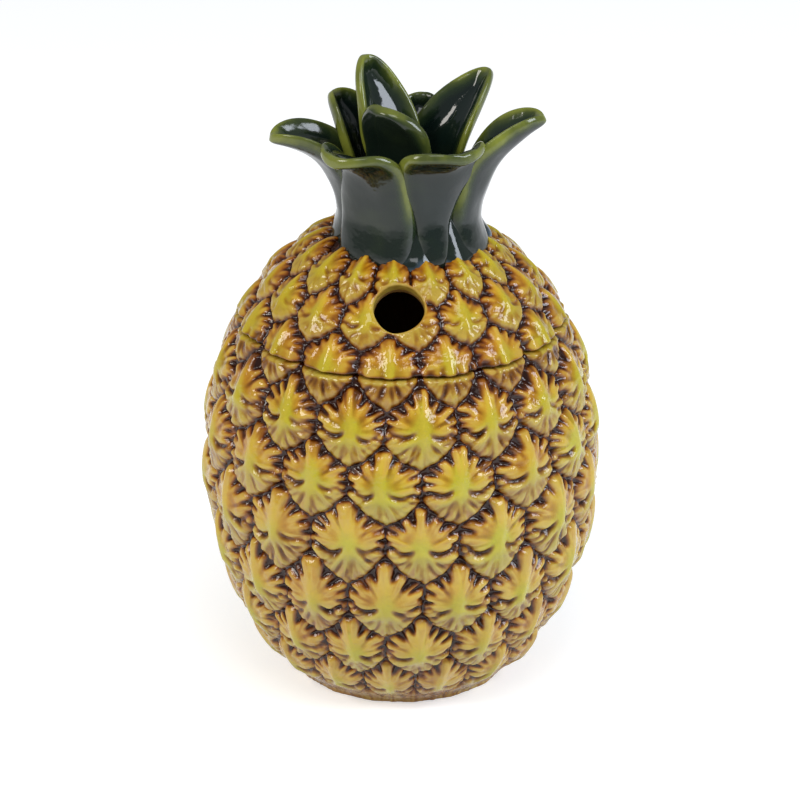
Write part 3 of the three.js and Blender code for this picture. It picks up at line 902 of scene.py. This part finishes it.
def bent_into_hole(points, base, outer):
    """Draws points of a surface into the straw hole: over a rounded edge and on along the hole's wall.

    Gives the new points and how far each is from the hole's axis on the surface as it was.
    """
    across, up, _ = hole_place(base)
    reach = np.hypot(across, up)
    behind = (base - HOLE_MIDDLE) @ HOLE_AXIS < -SKIN_RADIUS / 2
    reach = np.where(behind, OUT_OF_REACH, reach)
    turn = np.arctan2(up, across)
    bevel = HOLE_BEVEL if outer else INNER_BEVEL
    start = HOLE_RADIUS + bevel
    edge_out = np.interp(turn, RIM_TURNS, RIM_OUT) if outer else hole_place(points)[2]
    inward = start - reach
    arc = np.clip(inward / bevel, 0, np.pi / 2)
    wall = np.clip((inward - bevel * np.pi / 2) / (start - bevel * np.pi / 2 - HOLE_CUT), 0, 1)
    ring_reach = np.where(inward > 0, start - bevel * np.sin(arc), reach)
    half_wall = -WALL / 2 - edge_out
    step = bevel * (1 - np.cos(arc)) * (-1 if outer else 1)
    out = edge_out + step + wall * (half_wall - step)
    direction = np.cos(turn)[..., None] * HOLE_ACROSS + np.sin(turn)[..., None] * HOLE_UP
    out = np.where(inward > 0, out, hole_place(points)[2])
    drawn = HOLE_MIDDLE + direction * ring_reach[..., None] + HOLE_AXIS * out[..., None]
    share = smoothstep(reach, start + HOLE_BLEND, start)[..., None]
    result = np.where((inward > 0)[..., None], drawn, points + share * (drawn - points))
    return result, reach


def open_hole(mesh, reach):
    """Takes out the faces round the hole's axis on both surfaces and joins the two openings."""
    body = bmesh.new()
    body.from_mesh(mesh)
    body.verts.ensure_lookup_table()
    gone = [body.verts[int(i)] for i in np.flatnonzero(reach < HOLE_CUT)]
    bmesh.ops.delete(body, geom=gone, context="VERTS")
    edges = [edge for edge in body.edges if edge.is_boundary]
    bmesh.ops.bridge_loops(body, edges=edges)
    body.to_mesh(mesh)
    body.free()
    mesh.shade_smooth()


def build_lid():
    edge = distance_at(LID_EDGE)
    low, high = edge - SEAM_OVERRUN, distance_at(SEAT_HEIGHT - 1.0)
    grid = skin_grid(LID_COLUMNS, LID_ROWS, low, high, held_below=edge + LID_HOLD)
    radius, z = rounded_lower_edge(grid["radius"], grid["z"], LID_EDGE, LID_ROUND)
    z = np.minimum(z, SEAT_HEIGHT - 0.5)
    # Painted shade along the seam, on the lid's lower edge
    grid["wash"] = np.clip(grid["wash"] + 1.2 * near_seam(z, LID_EDGE, 1.4), 0, 1.5)
    degrees = grid["degrees"]
    skin_radius, skin_height, _, _ = skin_at(grid["distance"])
    skin = around(skin_radius, degrees, skin_height)
    outside, outside_reach = bent_into_hole(around(radius, degrees, z), skin, outer=True)
    shell = Shell()
    reach = []

    def ring(points, fields=PLAIN, material=0, hole_reach=OUT_OF_REACH):
        shell.ring(points, fields, material)
        reach.append(np.broadcast_to(hole_reach, len(points)))

    mouth = float(egg_radius(LID_EDGE, WALL))
    roof = SEAT_HEIGHT - LID_ROOF
    ring([(0, 0, roof)])
    ring(circle_points(8, roof, LID_INNER_COLUMNS), PLAIN, 1)
    ring(circle_points(16, roof, LID_INNER_COLUMNS), PLAIN, 1)
    for height in np.linspace(roof, LID_EDGE + 1, 44):
        inner_radius = min(float(egg_radius(height, WALL)), mouth - LID_SHELF)
        inside = circle_points(inner_radius, height, LID_INNER_COLUMNS)
        bent, inner_reach = bent_into_hole(inside, inside, outer=False)
        ring(bent, PLAIN, 1, inner_reach)
    ring(circle_points(mouth - LID_SHELF, LID_EDGE + 0.3), PLAIN, 1)
    ring(circle_points(mouth - 3.8, LID_EDGE), PLAIN, 1)
    ring(circle_points(mouth + 0.8, LID_EDGE), PLAIN, 1)
    lower = around(mouth + 1.2 + 0.3 * (radius[0] - mouth), degrees[0], LID_EDGE)
    ring(lower, glaze_row(grid, 0, gap=0, wash=0))
    bevel_end = HOLE_RADIUS + HOLE_BEVEL
    for i in range(len(radius)):
        row = glaze_row(grid, i)
        near = smoothstep(outside_reach[i], bevel_end + 0.2, bevel_end - 0.4)
        fields = {name: values + near * (PLAIN[name] - values) for name, values in row.items()}
        ring(outside[i], fields, 0, outside_reach[i])
    ring(circle_points(12, SEAT_HEIGHT - 0.5))
    ring([(0, 0, SEAT_HEIGHT - 0.5)])
    mesh = shell.mesh("lid", [scales, honey])
    open_hole(mesh, np.concatenate(reach))
    return mesh


add_piece("lid_scaled", build_lid(), "lid", "lid_dome")


# Locating ring

RING_CLEARANCE = 1.0
RING_WIDTH = 3.5
RING_DEPTH = 6.5
RING_GAP = 0.3  # under the lid
RING_ROUND = 0.7  # of the two lower edges
RING_BEVEL = 0.2  # of the two upper ones


def build_locating_ring():
    outer = float(egg_radius(RIM_HEIGHT, WALL)) - RING_CLEARANCE
    bore = outer - RING_WIDTH
    top = LID_EDGE - RING_GAP
    low = top - RING_DEPTH + RING_ROUND
    turns = np.radians([0, 22.5, 45, 67.5, 90])
    rounding = [(RING_ROUND * (1 - math.cos(turn)), low - RING_ROUND * math.sin(turn)) for turn in turns]
    section = [(outer - inset, height) for inset, height in rounding[::-1]]
    section += [(outer, top - RING_BEVEL), (outer - RING_BEVEL, top)]
    section += [(bore + RING_BEVEL, top), (bore, top - RING_BEVEL)]
    section += [(bore + inset, height) for inset, height in rounding]
    shell = Shell()
    first = shell.ring(circle_points(*section[0]))
    for radius, height in section[1:]:
        last = shell.ring(circle_points(radius, height))
    shell.add_band(last, first)
    return shell.mesh("locating_ring", [honey])


add_piece("locating_ring_glazed", build_locating_ring(), "lid_lifter", "lid_locating_ring")


# Crown

# Of each leaf: its foot's angle and width; its tip's radius, angle and height; how far it starts straight
# up, and ends straight, at what slope; its width; how far its sides bend in; and the share of its length
# where it begins to narrow
LEAVES = {
    "leaf_front_left": ((-34, 22), (29.8, -43, 28.5), 17, 14, 5, 22, 2, 0.6),
    "leaf_front_right": ((20, 9), (26.5, 33, 29.5), 17, 12, 8, 23.5, 2, 0.64),
    "leaf_left": ((-94, 15), (36.5, -86, 28.5), 12, 17, 10, 19, 4.5, 0.45),
    "leaf_right": ((72, 17), (35.2, 88, 32.5), 10, 18, 28, 19, 4.5, 0.45),
    "leaf_back_right": ((168, 14), (28.5, 132, 37.5), 9, 24, 41, 18.5, 3.5, 0.35),
    "leaf_back": ((-166, 16), (23, -190, 29.5), 14, 12, 50, 17, 3.5, 0.45),
    "leaf_back_left": ((-134, 17), (25.5, -127, 33), 14, 12, 50, 15, 3.5, 0.5),
    "leaf_inner_tall": ((-150, 13), (15.5, -130, 44.5), 18, 18, 76, 18.5, 3, 0.45),
    "leaf_inner_front": ((-20, 13), (12, -38, 37), 17, 12, 68, 20, 2.5, 0.6),
}
RIM_WIDTH = 3.0
OUTER_RIM_WIDTH = 1.4  # on a leaf's outer face
HOLLOW_DEPTH = 1.7  # of a leaf's inner face between its rims
OUTER_HOLLOW = -0.3
SQUARENESS = 2.9  # of a leaf's section: 2 is an ellipse
FOOT_FLARE = 2.4  # how far the outer leaves' feet spread over the lid
FOOT_DROP = 4.0
UNEVENNESS = 0.35
TIP_CLEARANCE = 0.05  # under the CAD leaf's tip
CROWN_MIDDLE = np.array([CROWN_OFFSET, 0, CROWN_BASE])


def unit(vectors):
    return vectors / np.linalg.norm(vectors, axis=-1, keepdims=True)


def build_leaf(name, foot, tip, rise, reach, tip_slope, width, cupping, blunt):
    foot_radius = INNER_FOOT_RADIUS if "inner" in name else OUTER_FOOT_RADIUS
    share = np.sin(np.arange(LEAF_STEPS) / LEAF_STEPS * np.pi / 2)[:, None]
    start = around(foot_radius, foot[0], 0.0)
    end = around(*tip)
    steepness = math.radians(tip_slope)
    along_end = around(math.cos(steepness), tip[1], math.sin(steepness))
    second = start + (0, 0, rise)
    third = end - reach * along_end
    rest = 1 - share
    middle = rest**3 * start + 3 * rest**2 * share * second + 3 * rest * share**2 * third + share**3 * end
    along = unit(rest**2 * (second - start) + 2 * rest * share * (third - second) + share**2 * (end - third))
    angle = foot[0] + (tip[1] - foot[0]) * share[:, 0]
    across = np.cross([0, 0, 1], around(1.0, angle, 0.0))
    across = unit(across - (across * along).sum(axis=1, keepdims=True) * along)
    outward = np.cross(across, along)
    taper = np.sqrt(1 - np.clip((share - blunt) / (1 - blunt), 0, 1) ** 2.5)
    spread = smoothstep(share, 0, LEAF_SPREAD_END)
    half_width = (foot[1] + (width - foot[1]) * spread) / 2 * taper
    thickness = LEAF_THICKNESS + (LEAF_TIP_THICKNESS - LEAF_THICKNESS) * share
    half_thickness = thickness / 2 * taper**0.4
    cup_depth = (FOOT_CUPPING + (cupping - FOOT_CUPPING) * spread) * taper
    turn = (np.arange(LEAF_SIDES) * 2 * np.pi / LEAF_SIDES)[None, :]
    x, y = (np.sign(wave) * np.abs(wave) ** (2 / SQUARENESS) for wave in (np.cos(turn), np.sin(turn)))
    length = float(np.linalg.norm(np.diff(middle, axis=0), axis=1).sum())
    from_rim = np.minimum((1 - np.abs(x)) * half_width, (1 - share) * length)
    hollow = smoothstep(from_rim, 0.6, RIM_WIDTH + 1.5) * smoothstep(share, 0.2, 0.55)
    out = half_thickness * y + hollow * np.where(y < 0, HOLLOW_DEPTH, OUTER_HOLLOW) - cup_depth * x * x
    wave = (len(name) + foot[0]) * 0.7
    uneven = UNEVENNESS * np.sin(share * 9 + x * 2.2 + wave) * np.sin(x * 4.1 - share * 5 + wave)
    out += uneven * taper * smoothstep(share, 0.1, 0.4)
    sideways = half_width * x * (1 + 0.025 * np.sin(share * 13 + wave + np.sign(x)))
    low = smoothstep(share, 0.16, 0.0) * (foot_radius == OUTER_FOOT_RADIUS)
    out += FOOT_FLARE * low * smoothstep(y, -0.2, 0.8)
    points = middle[:, None] + across[:, None] * sideways[..., None] + outward[:, None] * out[..., None]
    points[..., 2] -= FOOT_DROP * low * smoothstep(y, -1, 1)
    too_high = max(points[..., 2].max() - tip[2], 0) + TIP_CLEARANCE
    points[..., 2] -= too_high * share**2
    end = end - (0, 0, too_high)
    # How near the rim, which the leaf glaze paints paler as thinner glaze and a painted highlight
    rim_width = np.where(y > 0.3, OUTER_RIM_WIDTH, RIM_WIDTH)
    rim = np.exp(-((from_rim / rim_width) ** 2)) * smoothstep(share, 0.0, 0.3)
    shell = Shell()
    shell.ring([middle[0] + CROWN_MIDDLE], {"rim": 0})
    for i in range(LEAF_STEPS):
        shell.ring(points[i] + CROWN_MIDDLE, {"rim": rim[i]})
    shell.ring([end + CROWN_MIDDLE], {"rim": 1})
    return shell.mesh(name, [leaves_green])


for name, measures in LEAVES.items():
    add_piece(name + "_glazed", build_leaf(name, *measures), "lid", name)


# The stub's outline: radii and heights over the seat
COLLAR = [
    (10, -1), (17, -7), (20, -6), (21.2, -4.4), (21.2, -3), (20.4, -1.6), (19.4, -0.2),
    (18.6, 1.4), (17.8, 3.6), (16.6, 6.5), (15, 9.5), (12, 13), (9, 16), (5, 17.6),
]


def build_core():
    """The stub between the leaves, with the glaze that pooled round their feet."""
    place = np.linspace(0, len(COLLAR) - 1, 4 * len(COLLAR))
    radius, height = (np.interp(place, np.arange(len(COLLAR)), values) for values in zip(*COLLAR))
    for line in (radius, height):
        line[2:-2] = np.convolve(line, np.array([1, 2, 3, 2, 1]) / 9, "valid")
    degrees = np.arange(CORE_COLUMNS) * 360 / CORE_COLUMNS
    turn = np.radians(degrees)
    wave = 0.5 * np.sin(3 * turn + 1) + 0.45 * np.sin(7 * turn + 2) + 0.35 * np.sin(12 * turn)
    shell = Shell()
    shell.ring([CROWN_MIDDLE + (0, 0, height[0])])
    for r, h in zip(radius, height):
        uneven = wave * smoothstep(r, 14, 20)
        pooled = smoothstep(r, 19.6, 21.0)
        shell.ring(around(r + uneven, degrees, h) + CROWN_MIDDLE, {"rim": 0, "pooled": pooled})
    shell.ring([CROWN_MIDDLE + (0, 0, height[-1] + 0.3)])
    return shell.mesh("core", [leaves_green])


add_piece("crown_core_glazed", build_core(), "lid", "crown_core")


# Floor, light and camera

FLOOR_HALF = 6000 * MM
FLOOR_GLOW = 0.46
ROOM_LIGHT = 0.36
LIT_PLACE = Vector((0, 0, 80)) * MM


def stage_floor():
    mesh = bpy.data.meshes.new("floor")
    signs = [(-1, -1), (1, -1), (1, 1), (-1, 1)]
    mesh.from_pydata([(x * FLOOR_HALF, y * FLOOR_HALF, 0) for x, y in signs], [], [(0, 1, 2, 3)])
    material, tree, shader = new_material("white_floor")
    shader.inputs["Base Color"].default_value = (0.8, 0.8, 0.8, 1)
    shader.inputs["Roughness"].default_value = 0.9
    path = add_node(tree, "ShaderNodeLightPath").outputs
    seen = math_node(tree, "MAXIMUM", path["Is Camera Ray"], path["Is Glossy Ray"])
    seen = math_node(tree, "MAXIMUM", seen, path["Is Transmission Ray"])
    glow = add_node(tree, "ShaderNodeEmission", {"Strength": times(tree, seen, FLOOR_GLOW)})
    both = add_node(tree, "ShaderNodeAddShader", {0: shader.outputs["BSDF"], 1: glow.outputs["Emission"]})
    tree.links.new(both.outputs["Shader"], tree.nodes["Material Output"].inputs["Surface"])
    mesh.materials.append(material)
    add_object("floor", mesh)


def area_light(name, place, wide, tall, power, colour):
    light = bpy.data.lights.new(name, "AREA")
    light.shape = "RECTANGLE"
    light.size = wide * MM
    light.size_y = tall * MM
    light.energy = power
    light.color = colour
    lamp = add_object(name, light)
    lamp.location = Vector(place) * MM
    lamp.rotation_euler = (LIT_PLACE - lamp.location).to_track_quat("-Z", "Y").to_euler()


stage_floor()
world = bpy.data.worlds.new("studio")
world.use_nodes = True
room = world.node_tree.nodes["Background"].inputs
room["Color"].default_value = (0.9, 0.95, 1, 1)
room["Strength"].default_value = ROOM_LIGHT
bpy.context.scene.world = world
area_light("window_left", (-620, -420, 620), wide=300, tall=420, power=4.6, colour=(1.0, 0.96, 0.9))
area_light("window_right", (640, -270, 500), wide=300, tall=460, power=4.8, colour=(0.84, 0.90, 1.0))
area_light("sky_front", (0, -500, 1000), wide=420, tall=420, power=2.4, colour=(0.95, 0.97, 1.0))

camera_data = bpy.data.cameras.new("camera")
camera_data.lens = CAMERA_LENS
camera_data.sensor_width = CAMERA_SENSOR
camera_data.clip_start = 0.1
camera = add_object("camera", camera_data)
tilt = math.radians(CAMERA_ELEVATION)
back = Vector((0, -math.cos(tilt), math.sin(tilt)))
camera.location = (Vector(CAMERA_TARGET) + CAMERA_DISTANCE * back) * MM
camera.rotation_euler = (math.radians(90) - tilt, 0, 0)
bpy.context.scene.camera = camera
bpy.context.scene.view_settings.view_transform = "Standard"
